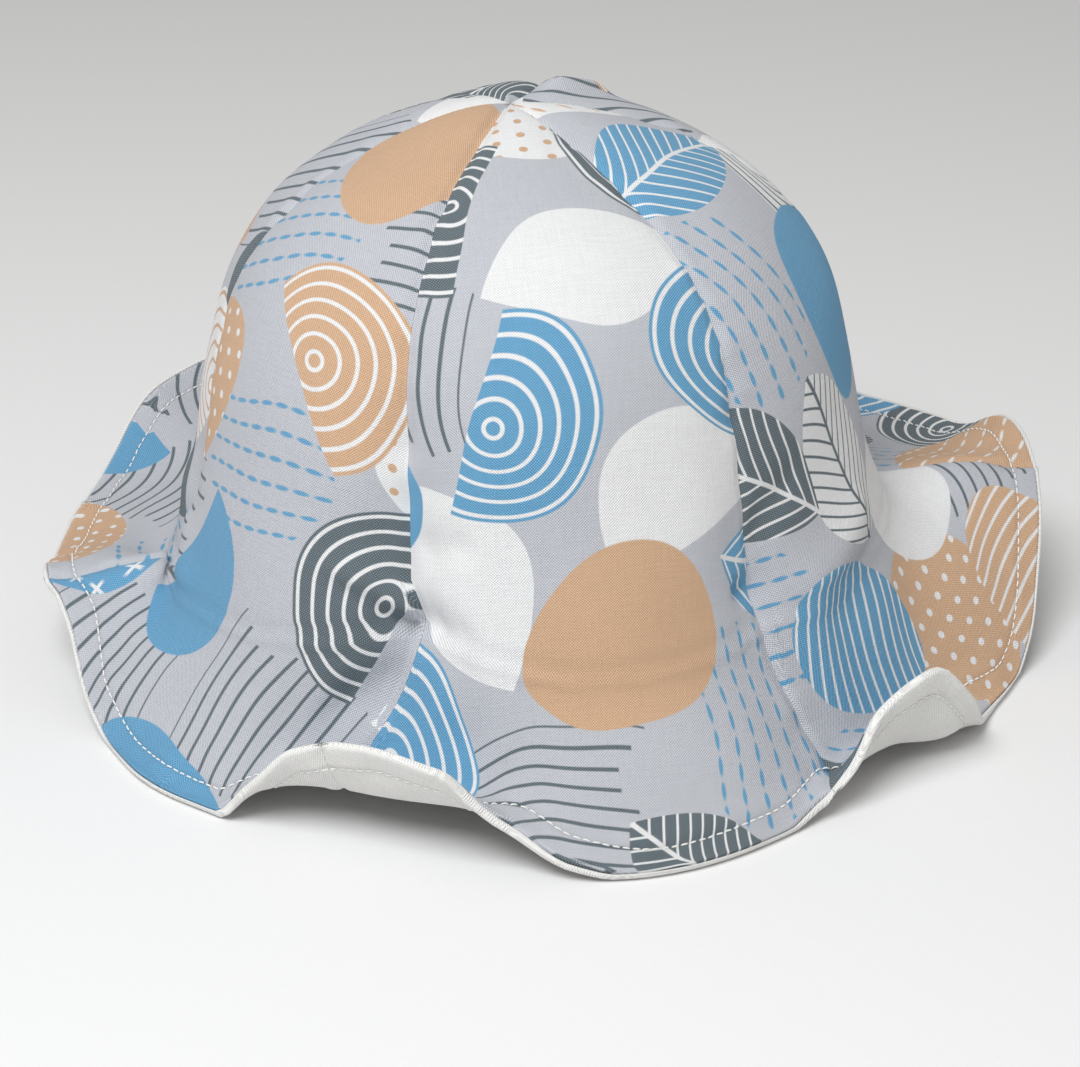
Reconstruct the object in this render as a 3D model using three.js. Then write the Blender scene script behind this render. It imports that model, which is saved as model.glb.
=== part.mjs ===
// A child's tulip sun hat: six gores of printed cotton over six gores of white cotton lining.
// Each gore runs from the crown's centre down to the waist and out into one petal of the brim.
// Millimetres, +Z up. The hat rests on its brim at z = 0, and its front faces -Y.
// An azimuth is in degrees, 0 at the front and growing towards +X.
import * as THREE from "three";

// Cloth
const clothThickness = 1.0;
const layerGap = 0.3; // between the print and the lining
const seamGap = 0.3; // between neighbouring gores
const liningLip = 1.2; // how far the lining rolls out past the print at the hem
const liningDepth = clothThickness + layerGap;

// Crown, as it stands over the waist
const crownTop = 127.3;
const crownRadius = 70.0;
const crownShoulder = 1.59; // power of the rounding towards the top
const crownWall = 4.07; // power of the rounding towards the wall
const crownFlare = 8.1; // how far the wall swells out to the waist
const flareStart = 0.52; // share of the crown's height under which it swells
const waistRadius = 77.5;
const tipHole = 0.6; // radius left open where the six tips meet
const gorePuff = 1.4; // how far a gore bulges between its seams
const crownLean = { x: -3.6, y: 1.1 }; // how far the top leans from the brim's centre
const tipShift = -2.0; // how far the tips meet to the left of the crown's axis

// Seams, in order round the hat. Each row also sets the gore that follows its seam.
// crown, waist, middle and hem are the seam's azimuth at those levels; pinch is how far it draws
// the waist in; puff is how far the gore stands up beside the crown's centre.
const seams = [
  { crown: -143, waist: -140.5, middle: -140.5, hem: -140.5, pinch: 2.5, puff: 1.0, gore: "left_back" },
  { crown: -83, waist: -80.5, middle: -81, hem: -81.5, pinch: 3.0, puff: 1.0, gore: "left_front" },
  { crown: -24, waist: -20.7, middle: -25, hem: -25, pinch: 6.0, puff: 1.2, gore: "front" },
  { crown: 30, waist: 38, middle: 41, hem: 38, pinch: 4.0, puff: 1.4, gore: "right_front" },
  { crown: 95, waist: 99, middle: 99, hem: 99, pinch: 3.0, puff: 3.2, gore: "right_back" },
  { crown: 157, waist: 159.5, middle: 159.5, hem: 159.5, pinch: 2.5, puff: 2.0, gore: "back" },
];
const pinchWidth = 0.12; // share of a gore's width

// The waist, a row for each seam and each gore's middle
const waist = [
  { azimuth: -170, radius: 77, height: 34 },
  { azimuth: -140.5, radius: 78, height: 34 },
  { azimuth: -110, radius: 81, height: 30 },
  { azimuth: -80.5, radius: 81, height: 26 },
  { azimuth: -50, radius: 81, height: 32 },
  { azimuth: -20.7, radius: 77, height: 39 },
  { azimuth: 9, radius: 78, height: 33 },
  { azimuth: 38, radius: 77, height: 35 },
  { azimuth: 69, radius: 76.5, height: 38 },
  { azimuth: 99, radius: 76, height: 43 },
  { azimuth: 129, radius: 76.5, height: 39 },
  { azimuth: 159.5, radius: 77, height: 36 },
];

// The brim's folds: where the cloth lies halfway down the brim and at its hem
const folds = [
  { azimuth: -172, middleRadius: 90, middleHeight: 15, hemRadius: 103, hemHeight: 0 },
  { azimuth: -157, middleRadius: 92, middleHeight: 18, hemRadius: 105, hemHeight: 8 },
  { azimuth: -141, middleRadius: 97, middleHeight: 29, hemRadius: 113, hemHeight: 41 },
  { azimuth: -127, middleRadius: 97, middleHeight: 27, hemRadius: 118, hemHeight: 36 },
  { azimuth: -109, middleRadius: 96, middleHeight: 22, hemRadius: 115, hemHeight: 19 },
  { azimuth: -93, middleRadius: 96, middleHeight: 24, hemRadius: 111, hemHeight: 19 },
  { azimuth: -82, middleRadius: 97, middleHeight: 28, hemRadius: 109.5, hemHeight: 28 },
  { azimuth: -75, middleRadius: 95, middleHeight: 21, hemRadius: 105, hemHeight: 16 },
  { azimuth: -68, middleRadius: 92, middleHeight: 16, hemRadius: 104, hemHeight: 5 },
  { azimuth: -56, middleRadius: 90, middleHeight: 15, hemRadius: 104, hemHeight: 0 },
  { azimuth: -42, middleRadius: 90, middleHeight: 15, hemRadius: 102, hemHeight: 0 },
  { azimuth: -36, middleRadius: 88, middleHeight: 13, hemRadius: 99, hemHeight: 12 },
  { azimuth: -29, middleRadius: 88, middleHeight: 12.5, hemRadius: 98, hemHeight: 23 },
  { azimuth: -20, middleRadius: 88.5, middleHeight: 12, hemRadius: 98, hemHeight: 27 },
  { azimuth: -11, middleRadius: 88, middleHeight: 13, hemRadius: 99, hemHeight: 24.5 },
  { azimuth: -4, middleRadius: 88, middleHeight: 15, hemRadius: 98, hemHeight: 13 },
  { azimuth: 4, middleRadius: 89, middleHeight: 15, hemRadius: 101, hemHeight: 3 },
  { azimuth: 14, middleRadius: 90, middleHeight: 15, hemRadius: 103, hemHeight: 0 },
  { azimuth: 29, middleRadius: 89, middleHeight: 13, hemRadius: 99, hemHeight: 0 },
  { azimuth: 38, middleRadius: 89, middleHeight: 10, hemRadius: 97, hemHeight: 8 },
  { azimuth: 45, middleRadius: 90, middleHeight: 8, hemRadius: 98, hemHeight: 22 },
  { azimuth: 52, middleRadius: 91, middleHeight: 8, hemRadius: 101, hemHeight: 28 },
  { azimuth: 60, middleRadius: 94, middleHeight: 7, hemRadius: 104, hemHeight: 16 },
  { azimuth: 68, middleRadius: 93, middleHeight: 9, hemRadius: 104, hemHeight: 3.5 },
  { azimuth: 79, middleRadius: 95, middleHeight: 17, hemRadius: 108, hemHeight: 0 },
  { azimuth: 87, middleRadius: 97, middleHeight: 26, hemRadius: 113, hemHeight: 14 },
  { azimuth: 98, middleRadius: 99, middleHeight: 40, hemRadius: 116, hemHeight: 36 },
  { azimuth: 109, middleRadius: 98, middleHeight: 34, hemRadius: 118, hemHeight: 41 },
  { azimuth: 120, middleRadius: 98, middleHeight: 30, hemRadius: 118, hemHeight: 32 },
  { azimuth: 134, middleRadius: 96, middleHeight: 26, hemRadius: 116, hemHeight: 29 },
  { azimuth: 158, middleRadius: 95, middleHeight: 26, hemRadius: 112, hemHeight: 37 },
  { azimuth: 175, middleRadius: 91, middleHeight: 17, hemRadius: 104, hemHeight: 4 },
];

// Facets
const facetsAcross = 10;
const crownLevels = [0.05, 0.1, 0.16, 0.24, 0.34, 0.46, 0.58, 0.7, 0.81, 0.91];
const brimLevels = [1, 1.09, 1.19, 1.3, 1.42, 1.54, 1.65, 1.76, 1.86, 1.945];

const radians = THREE.MathUtils.degToRad;
const clamp = THREE.MathUtils.clamp;
const smooth = (x) => THREE.MathUtils.smoothstep(x, 0, 1);

// The value of a column at an azimuth, eased from row to row so that no fold overshoots.
function around(rows, column, azimuth) {
  const count = rows.length;
  const start = rows[0].azimuth;
  const wrapped = THREE.MathUtils.euclideanModulo(azimuth - start, 360) + start;
  const at = (k) => rows[THREE.MathUtils.euclideanModulo(k, count)].azimuth + 360 * Math.floor(k / count);
  const value = (k) => rows[THREE.MathUtils.euclideanModulo(k, count)][column];
  const slope = (k) => (value(k + 1) - value(k)) / (at(k + 1) - at(k));
  const ease = (k) => {
    const before = slope(k - 1);
    const after = slope(k);
    return before * after > 0 ? (2 * before * after) / (before + after) : 0;
  };
  let row = 0;
  while (row < count - 1 && at(row + 1) <= wrapped) {
    row += 1;
  }
  const span = at(row + 1) - at(row);
  const s = (wrapped - at(row)) / span;
  return hermite(value(row), value(row + 1), ease(row) * span, ease(row + 1) * span, s);
}

function hermite(from, to, leave, arrive, s) {
  const squared = s * s;
  const cubed = squared * s;
  const ends = (2 * cubed - 3 * squared + 1) * from + (3 * squared - 2 * cubed) * to;
  return ends + (cubed - 2 * squared + s) * leave + (cubed - squared) * arrive;
}

// A level is 0 at the crown's centre, 1 at the waist and 2 at the hem.
function seamAzimuth(seam, level) {
  const toWaist = (seam.waist - seam.crown) * smooth(level / 0.75);
  const toMiddle = (seam.middle - seam.waist) * smooth((level - 1) / 0.5);
  const toHem = (seam.hem - seam.middle) * smooth((level - 1.5) / 0.5);
  return seam.crown + toWaist + toMiddle + toHem;
}

// Where the waist of a gore lies, across being 0 at its own seam and 1 at the next.
function waistOf(seam, next, turn, across) {
  const azimuth = seam.waist + (next.waist + turn - seam.waist) * across;
  const own = seam.pinch * Math.exp(-((across / pinchWidth) ** 2));
  const other = next.pinch * Math.exp(-(((1 - across) / pinchWidth) ** 2));
  return {
    radius: around(waist, "radius", azimuth),
    height: around(waist, "height", azimuth),
    pinch: own + other,
  };
}

// Radius and height of the crown between its centre and the waist.
function crownSection(seam, band, across, level) {
  const angle = (level * Math.PI) / 2;
  const rise = Math.max(Math.cos(angle), 0) ** (2 / crownWall);
  const swell = crownFlare * (1 - clamp(rise / flareStart, 0, 1)) ** 2;
  const bulge = 4 * across * (1 - across);
  const followWaist = clamp((level - 0.5) / 0.5, 0, 1) ** 2;
  const followPinch = clamp((level - 0.62) / 0.38, 0, 1) ** 2;
  const round = crownRadius * Math.sin(angle) ** (2 / crownShoulder) + swell;
  const puffed = gorePuff * Math.sin(Math.PI * level) * (bulge - 0.4);
  const standUp = seam.puff * bulge * Math.exp(-(((level - 0.2) / 0.13) ** 2));
  return {
    radius: round + puffed + (band.radius - waistRadius) * followWaist - band.pinch * followPinch,
    height: band.height + (crownTop - band.height) * rise + standUp,
  };
}

// Radius and height of the brim between the waist and the hem, and past it for the rolled lining.
function brimSection(band, azimuth, level) {
  const section = {};
  const starts = { radius: band.radius - band.pinch, height: band.height };
  const leaves = { radius: 8, height: -24 };
  const middles = {
    radius: around(folds, "middleRadius", azimuth) - 0.35 * band.pinch,
    height: around(folds, "middleHeight", azimuth),
  };
  const hems = {
    radius: around(folds, "hemRadius", azimuth),
    height: around(folds, "hemHeight", azimuth),
  };
  const down = 2 * (level - 1);
  for (const way of ["radius", "height"]) {
    const through = 0.5 * (hems[way] - starts[way]);
    const arrive = 1.5 * (hems[way] - middles[way]) - 0.5 * through;
    if (down < 1) {
      section[way] = hermite(starts[way], middles[way], leaves[way], through, down);
    } else {
      section[way] = hermite(middles[way], hems[way], through, arrive, Math.min(down - 1, 1));
      section[way] += Math.max(down - 2, 0) * arrive;
    }
  }
  return section;
}

// The azimuth of a point of a gore, and the seams on either side of it.
function goreAzimuth(index, across, level) {
  const seam = seams[index];
  const next = seams[(index + 1) % seams.length];
  const turn = index === seams.length - 1 ? 360 : 0;
  const from = seamAzimuth(seam, level);
  const azimuth = from + (seamAzimuth(next, level) + turn - from) * across;
  return { seam, next, turn, azimuth };
}

// A point of the printed face of a gore.
function clothPoint(index, across, level) {
  const { seam, next, turn, azimuth } = goreAzimuth(index, across, level);
  const band = waistOf(seam, next, turn, across);
  const section = level <= 1 ? crownSection(seam, band, across, level) : brimSection(band, azimuth, level);
  const lean = clamp((section.height - 35) / 90, 0, 1);
  const shift = level < 1 ? tipShift * Math.exp(-((level / 0.15) ** 2)) : 0;
  return new THREE.Vector3(
    section.radius * Math.sin(radians(azimuth)) + crownLean.x * lean + shift,
    -section.radius * Math.cos(radians(azimuth)) + crownLean.y * lean,
    section.height,
  );
}

// The direction out of the printed face. Both gores at a seam share it, and the tips face up.
function clothNormal(index, across, level) {
  const step = 0.01;
  const above = clothPoint(index, across, Math.max(level - step, step));
  const alongGore = clothPoint(index, across, level + step).sub(above);
  const left = clothPoint(index, Math.max(across - step, 0), level);
  const right = clothPoint(index, Math.min(across + step, 1), level);
  const angle = radians(goreAzimuth(index, across, level).azimuth);
  const ring = new THREE.Vector3(Math.cos(angle), Math.sin(angle), 0);
  const nearSeam = clamp(1 - Math.min(across, 1 - across) / 0.05, 0, 1);
  const aroundHat = right.sub(left).normalize().lerp(ring, nearSeam);
  const nearTip = clamp(1 - level / 0.12, 0, 1);
  return alongGore.cross(aroundHat).normalize().lerp(new THREE.Vector3(0, 0, 1), nearTip).normalize();
}

// The levels of a gore's rows, from its tip to the print's hem, and on to the lining's.
function levelsOf(index, across, rolledOut) {
  const tip = (2 / Math.PI) * Math.asin((tipHole / crownRadius) ** (crownShoulder / 2));
  const reach = clothPoint(index, across, 2).distanceTo(clothPoint(index, across, 1.95)) / 0.05;
  const levels = [tip, ...crownLevels, ...brimLevels, 2 - liningLip / reach];
  return rolledOut ? [...levels, 2] : levels;
}

// One wall of cloth, from a depth under the printed face to a thickness further in.
function clothWall(index, depth, rolledOut) {
  const floor = liningDepth + clothThickness;
  const rows = levelsOf(index, 0.5, rolledOut).length;
  const columns = facetsAcross + 1;
  const positions = [];
  for (const layer of [depth, depth + clothThickness]) {
    for (let column = 0; column < columns; column += 1) {
      const share = column / facetsAcross;
      for (const level of levelsOf(index, share, rolledOut)) {
        const middle = clothPoint(index, 0.5, level);
        const halfGap = (0.5 * seamGap) / (Math.hypot(middle.x, middle.y) * (Math.PI / 3) + 1e-6);
        const across = halfGap + (1 - 2 * halfGap) * share;
        const point = clothPoint(index, across, level);
        point.addScaledVector(clothNormal(index, across, level), -layer);
        point.z = Math.max(point.z, floor - layer);
        positions.push(point.x, point.y, point.z);
      }
    }
  }
  return closedShell(positions, columns, rows);
}

// Joins two grids of points, the outer one first, into one closed body.
function closedShell(positions, columns, rows) {
  const indices = [];
  const inner = columns * rows;
  const quad = (a, b, c, d) => indices.push(a, b, c, a, c, d);
  for (let column = 0; column < columns - 1; column += 1) {
    for (let row = 0; row < rows - 1; row += 1) {
      const a = column * rows + row;
      const b = a + rows;
      quad(a, a + 1, b + 1, b);
      quad(inner + a, inner + b, inner + b + 1, inner + a + 1);
    }
    const tip = column * rows;
    const hem = tip + rows - 1;
    quad(tip, tip + rows, inner + tip + rows, inner + tip);
    quad(hem, inner + hem, inner + hem + rows, hem + rows);
  }
  const last = (columns - 1) * rows;
  for (let row = 0; row < rows - 1; row += 1) {
    quad(row, inner + row, inner + row + 1, row + 1);
    quad(last + row, last + row + 1, inner + last + row + 1, inner + last + row);
  }
  const geometry = new THREE.BufferGeometry();
  geometry.setAttribute("position", new THREE.Float32BufferAttribute(positions, 3));
  geometry.setIndex(indices);
  geometry.computeVertexNormals();
  return geometry;
}

function printedCotton() {
  return new THREE.MeshStandardMaterial({ color: 0xb3b6c0, roughness: 0.9, metalness: 0 });
}

function whiteCotton() {
  return new THREE.MeshStandardMaterial({ color: 0xefeeea, roughness: 0.9, metalness: 0 });
}

function printGore(index) {
  const mesh = new THREE.Mesh(clothWall(index, 0, false), printedCotton());
  mesh.name = "print_gore_" + seams[index].gore;
  return mesh;
}

function liningGore(index) {
  const mesh = new THREE.Mesh(clothWall(index, liningDepth, true), whiteCotton());
  mesh.name = "lining_gore_" + seams[index].gore;
  return mesh;
}

const hat = new THREE.Group();
hat.name = "tulip_hat";
for (let index = 0; index < seams.length; index += 1) {
  hat.add(printGore(index), liningGore(index));
}

// The hat's box is centred over the origin.
const centre = new THREE.Box3().setFromObject(hat).getCenter(new THREE.Vector3());
hat.position.set(-centre.x, -centre.y, 0);

export default hat;
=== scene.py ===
import math

import bpy
import numpy as np
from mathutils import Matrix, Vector


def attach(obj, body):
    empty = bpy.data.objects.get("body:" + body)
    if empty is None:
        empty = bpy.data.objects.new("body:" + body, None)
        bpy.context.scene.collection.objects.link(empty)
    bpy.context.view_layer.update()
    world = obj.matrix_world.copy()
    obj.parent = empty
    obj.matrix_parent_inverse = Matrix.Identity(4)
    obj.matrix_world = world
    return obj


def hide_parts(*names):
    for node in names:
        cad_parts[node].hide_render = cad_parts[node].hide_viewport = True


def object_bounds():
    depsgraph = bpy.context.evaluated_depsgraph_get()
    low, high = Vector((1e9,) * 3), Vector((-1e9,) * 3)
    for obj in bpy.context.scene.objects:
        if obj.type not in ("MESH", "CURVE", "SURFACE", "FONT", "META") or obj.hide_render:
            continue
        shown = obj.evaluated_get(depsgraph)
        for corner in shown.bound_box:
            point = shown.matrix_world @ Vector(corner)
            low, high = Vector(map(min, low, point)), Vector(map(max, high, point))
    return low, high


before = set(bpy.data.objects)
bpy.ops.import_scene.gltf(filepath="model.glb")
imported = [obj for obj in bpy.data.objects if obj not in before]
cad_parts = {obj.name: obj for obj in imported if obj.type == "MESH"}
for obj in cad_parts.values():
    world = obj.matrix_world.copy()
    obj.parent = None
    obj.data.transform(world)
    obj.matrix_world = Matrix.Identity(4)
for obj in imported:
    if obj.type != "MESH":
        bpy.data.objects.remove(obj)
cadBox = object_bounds()
mm = 0.001  # tables and dictionaries are in millimetres and degrees, meshes in metres
print("frame loaded")


# The hat's form. An azimuth is 0 at the front and grows towards +X. A level is 0 at the crown's
# centre, 1 at the waist and 2 at the hem.
crown = dict(
    top=127.3,
    radius=70.0,
    shoulder=1.59,  # power of the rounding towards the top
    wall=4.07,  # power of the rounding towards the wall
    flare=8.1,
    flareStart=0.52,
    waistRadius=77.5,
    tipHole=0.15,
    gorePuff=1.4,
    puffBase=0.4,
    turnedBy=0.75,  # the level by which a seam has turned to its azimuth at the waist
    lean=(-3.6, 1.1),  # how far the top leans from the brim's centre
    leanFrom=35,
    leanOver=90,
    tipShift=-2.0,
    tipReach=0.15,
    pinchWidth=0.12,
    waistFrom=0.5,  # the level from which the wall follows the waist's radius
    pinchFrom=0.62,  # the level from which the seams draw in
    puffLevel=0.2,
    puffReach=0.13,
)
brim = dict(
    leaveOut=8,  # how steeply the cloth leaves the waist, outwards and downwards
    leaveDown=-24,
    pinchKept=0.35,  # share of the waist's pinch that is left halfway down the brim
    middle=0.5,  # the levels from the waist to the brim's middle
)

# Each row is a seam and the gore that follows it: the seam's azimuth at the crown, waist, middle of
# the brim and hem, how far it pinches the waist, and how far its gore stands up beside the centre.
seamColumns = ("crown", "waist", "middle", "hem", "pinch", "puff", "gore")
seamRows = [
    (-143, -140.5, -140.5, -140.5, 2.5, 1.0, "left_back"),
    (-83, -80.5, -81, -81.5, 3.0, 1.0, "left_front"),
    (-24, -21.4, -25, -25, 6.0, 1.2, "front"),
    (30, 38.2, 41.5, 38, 4.0, 1.4, "right_front"),
    (95, 99, 99, 99, 3.0, 1.4, "right_back"),
    (157, 159.5, 159.5, 159.5, 2.5, 1.6, "back"),
]
seams = [dict(zip(seamColumns, row)) for row in seamRows]

waistColumns = ("azimuth", "radius", "height")
waistRows = [
    (-170, 77, 34),
    (-140.5, 78, 34),
    (-110, 81, 30),
    (-80.5, 81, 26),
    (-50, 81, 32),
    (-20.7, 77, 39),
    (9, 78, 33),
    (38, 77, 35),
    (69, 76.5, 38),
    (99, 76, 43),
    (129, 76.5, 39),
    (159.5, 77, 36),
]

# Where the brim lies halfway down and at its hem, a row for each rise and fall of its folds
foldColumns = ("azimuth", "middleRadius", "middleHeight", "hemRadius", "hemHeight")
foldRows = [
    (-172, 90, 15, 103, 0),
    (-157, 92, 18, 105, 8),
    (-141, 97, 29, 113, 41),
    (-127, 97, 27, 118, 36),
    (-109, 96, 22, 115, 19),
    (-93, 96, 24, 111, 19),
    (-82, 97, 28, 109.5, 28),
    (-75, 95, 21, 105, 16),
    (-68, 92, 16, 104, 5),
    (-56, 90, 15, 104, 0),
    (-42, 90, 15, 102, 0),
    (-36, 88, 13, 99, 12),
    (-29, 88, 12.5, 98, 23),
    (-20, 88.5, 12, 98, 27),
    (-11, 88, 13, 99, 24.5),
    (-4, 88, 15, 98, 13),
    (4, 89, 15, 101, 3),
    (14, 90, 15, 103, 0),
    (29, 89, 13, 99, 0),
    (38, 89, 10, 97, 8),
    (45, 90, 8, 98, 22),
    (52, 91, 8, 101, 28),
    (60, 94, 7, 104, 16),
    (68, 93, 9, 104, 3.5),
    (79, 95, 17, 108, 0),
    (87, 97, 26, 113, 14),
    (98, 99, 40, 116, 36),
    (109, 98, 34, 118, 41),
    (120, 98, 30, 118, 32),
    (134, 96, 26, 116, 29),
    (158, 95, 26, 112, 37),
    (175, 91, 17, 104, 4),
]


def hermite(start, end, leave, arrive, s):
    squared = s * s
    cubed = squared * s
    ends = (2 * cubed - 3 * squared + 1) * start + (3 * squared - 2 * cubed) * end
    return ends + (cubed - 2 * squared + s) * leave + (cubed - squared) * arrive


def roundCurve(rows, columns, column):
    # Eased from row to row so that no fold overshoots, and joined up after a full turn.
    azimuths = np.array([row[columns.index("azimuth")] for row in rows], float)
    values = np.array([row[columns.index(column)] for row in rows], float)
    at = np.concatenate([azimuths[-2:] - 360, azimuths, azimuths[:2] + 360])
    value = np.concatenate([values[-2:], values, values[:2]])
    slope = np.diff(value) / np.diff(at)
    product = slope[:-1] * slope[1:]
    total = np.where(product > 0, slope[:-1] + slope[1:], 1)
    ease = np.concatenate([[0], np.where(product > 0, 2 * product / total, 0), [0]])

    def curve(azimuth):
        wrapped = (azimuth - azimuths[0]) % 360 + azimuths[0]
        row = np.searchsorted(at, wrapped, side="right") - 1
        span = at[row + 1] - at[row]
        s = (wrapped - at[row]) / span
        return hermite(value[row], value[row + 1], ease[row] * span, ease[row + 1] * span, s)

    return curve


waistCurves = {name: roundCurve(waistRows, waistColumns, name) for name in waistColumns[1:]}
foldCurves = {name: roundCurve(foldRows, foldColumns, name) for name in foldColumns[1:]}


def smooth(x):
    held = np.clip(x, 0, 1)
    return held * held * (3 - 2 * held)


def near(distance, reach):
    # 1 at no distance, and fading out past the reach.
    return np.exp(-((distance / reach) ** 2))


# The pleat at the front pulls its seam sideways, by degrees, from a level down to the waist.
seamPull = dict(gore="front", turn=2.6, level=0.9935)


def seamAzimuth(seam, level):
    onBrim = smooth((level - 1) / brim["middle"])
    toWaist = (seam["waist"] - seam["crown"]) * smooth(level / crown["turnedBy"])
    toMiddle = (seam["middle"] - seam["waist"]) * onBrim
    toHem = (seam["hem"] - seam["middle"]) * smooth((level - 1 - brim["middle"]) / brim["middle"])
    azimuth = seam["crown"] + toWaist + toMiddle + toHem
    if seam["gore"] == seamPull["gore"]:
        atPleat = smooth((level - seamPull["level"]) / (1 - seamPull["level"]))
        azimuth = azimuth + seamPull["turn"] * atPleat * (1 - onBrim)
    return azimuth


def goreSides(index):
    turn = 360 if index == len(seams) - 1 else 0
    return seams[index], seams[(index + 1) % len(seams)], turn


def goreAzimuth(index, across, level):
    seam, following, turn = goreSides(index)
    start = seamAzimuth(seam, level)
    return start + (seamAzimuth(following, level) + turn - start) * across


def towards(start, level):
    # From 0 at a level to 1 at the waist, ever faster.
    return np.clip((level - start) / (1 - start), 0, 1) ** 2


def crownSection(seam, band, across, level):
    angle = level * math.pi / 2
    rise = np.clip(np.cos(angle), 0, 1) ** (2 / crown["wall"])
    swell = crown["flare"] * (1 - np.clip(rise / crown["flareStart"], 0, 1)) ** 2
    bulge = 4 * across * (1 - across)
    followWaist = towards(crown["waistFrom"], level)
    followPinch = towards(crown["pinchFrom"], level)
    puffed = crown["gorePuff"] * np.sin(math.pi * level) * (bulge - crown["puffBase"])
    radius = crown["radius"] * np.clip(np.sin(angle), 0, 1) ** (2 / crown["shoulder"])
    radius = radius + swell + puffed
    radius += (band["radius"] - crown["waistRadius"]) * followWaist - band["pinch"] * followPinch
    standUp = seam["puff"] * bulge * near(level - crown["puffLevel"], crown["puffReach"])
    return radius, band["height"] + (crown["top"] - band["height"]) * rise + standUp


def brimSection(band, azimuth, level):
    starts = (band["radius"] - band["pinch"], band["height"])
    middles = (
        foldCurves["middleRadius"](azimuth) - brim["pinchKept"] * band["pinch"],
        foldCurves["middleHeight"](azimuth),
    )
    hems = (foldCurves["hemRadius"](azimuth), foldCurves["hemHeight"](azimuth))
    leaves = (brim["leaveOut"], brim["leaveDown"])
    down = (level - 1) / brim["middle"]
    section = []
    for start, middle, hem, leave in zip(starts, middles, hems, leaves):
        through = 0.5 * (hem - start)
        arrive = 1.5 * (hem - middle) - 0.5 * through  # straight at the hem
        upper = hermite(start, middle, leave, through, np.clip(down, 0, 1))
        lower = hermite(middle, hem, through, arrive, np.clip(down - 1, 0, 1))
        past = np.clip(down - 2, 0, None) * arrive
        section.append(np.where(down < 1, upper, lower) + past)
    return section


def clothPoint(index, across, level):
    # A point of the printed face, in millimetres from the brim's centre.
    seam, following, turn = goreSides(index)
    azimuth = goreAzimuth(index, across, level)
    waistAzimuth = seam["waist"] + (following["waist"] + turn - seam["waist"]) * across
    own = seam["pinch"] * near(across, crown["pinchWidth"])
    other = following["pinch"] * near(1 - across, crown["pinchWidth"])
    band = {name: curve(waistAzimuth) for name, curve in waistCurves.items()}
    band["pinch"] = own + other
    crownPart = crownSection(seam, band, across, np.clip(level, 0, 1))
    brimPart = brimSection(band, azimuth, np.clip(level, 1, None))
    radius = np.where(level <= 1, crownPart[0], brimPart[0])
    height = np.where(level <= 1, crownPart[1], brimPart[1])
    lean = np.clip((height - crown["leanFrom"]) / crown["leanOver"], 0, 1)
    shift = np.where(level < 1, crown["tipShift"] * near(level, crown["tipReach"]), 0)
    angle = np.radians(azimuth)
    x = radius * np.sin(angle) + crown["lean"][0] * lean + shift
    y = -radius * np.cos(angle) + crown["lean"][1] * lean
    return np.stack([x, y, height], axis=-1)


def unit(vectors):
    return vectors / np.maximum(np.linalg.norm(vectors, axis=-1, keepdims=True), 1e-9)


# The cloth close up
cloth = dict(
    thickness=1.0,
    layerGap=0.3,
    lip=1.2,  # how far the lining rolls out past the print
    seamGap=0.04,
    leastWidth=0.2,
    seamDip=0.75,  # how far the cloth turns in at a seam
    seamRound=1.3,
    hemRound=0.9,  # radius of the print's turned edge
    hemTurn=0.85,  # how far that edge turns in
    deepest=0.88,  # no furrow goes further into the print
    lipRise=0.85,  # how far the rolled lining stands up beside the print's edge
    lipStep=0.35,
    lipRound=0.8,
    lipTuck=0.15,
    insideRound=1.0,
    insideTurn=0.8,
    waistEase=3.5,  # how softly the cloth turns from the crown to the brim
    waistReach=7,
    leastEase=0.01,
    floorEase=0.2,  # rounding where the cloth meets the floor
    columns=88,
    columnPull=0.78,  # draws the columns towards the seams
    crownRows=84,
    brimRows=26,
)
liningDepth = cloth["thickness"] + cloth["layerGap"]
clothDepth = liningDepth + cloth["thickness"]

# The rows of mesh at the hem, by their distance from it
hemDistances = [9, 8.2, 7.5, 6.9, 6.4, 6.0, 5.7, 5.5, 5.3, 5.1, 4.8, 4.4, 3.9, 3.3, 2.7, 2.1]
hemDistances += [1.6, 1.25, 1.1, 0.95, 0.8, 0.62, 0.45, 0.3, 0.16, 0.06, 0]

topstitch = dict(
    fromHem=5.5,
    pitch=2.0,
    length=1.75,
    radius=0.2,
    endRadius=0.45,  # share of the radius that is left at a stitch's ends
    flat=0.8,
    sink=0.16,  # how far a stitch's ends go down into the cloth
    rise=2.2,  # times as much at its middle
    dip=0.22,  # the furrow that the thread pulls in the cloth
    furrow=0.7,
    samples=400,
    rings=6,
    sides=6,
    seed=11,
    shift=(-0.06, 0.06),  # from here on, the chance range of a stitch's place, length and slant
    lengths=(0.92, 1.04),
    slant=(-0.09, 0.09),
)

# How finely a gore is measured
measuring = dict(tip=0.002, top=200, wallRise=0.8, wall=400, brim=300, across=49)


def fineLevels():
    # Levels close enough together everywhere, also on the steep wall above the waist.
    rise = np.linspace(measuring["wallRise"], 0, measuring["wall"])
    onWall = np.arccos(rise ** (crown["wall"] / 2)) * 2 / math.pi
    onTop = np.linspace(measuring["tip"], onWall[0], measuring["top"])
    return np.concatenate([onTop[:-1], onWall, np.linspace(1, 2, measuring["brim"])[1:]])


def cutTables(index):
    # The width of a gore and the length down from its tip, at each level, measured along the cloth.
    levels = fineLevels()
    across = np.linspace(0, 1, measuring["across"])
    points = clothPoint(index, across[:, None], levels[None, :])
    widths = np.linalg.norm(np.diff(points, axis=0), axis=-1).sum(0)
    strides = np.linalg.norm(np.diff(points[len(across) // 2], axis=0), axis=-1)
    return dict(levels=levels, widths=widths, lengths=np.concatenate([[0], np.cumsum(strides)]))


cuts = [cutTables(index) for index in range(len(seams))]


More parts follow.
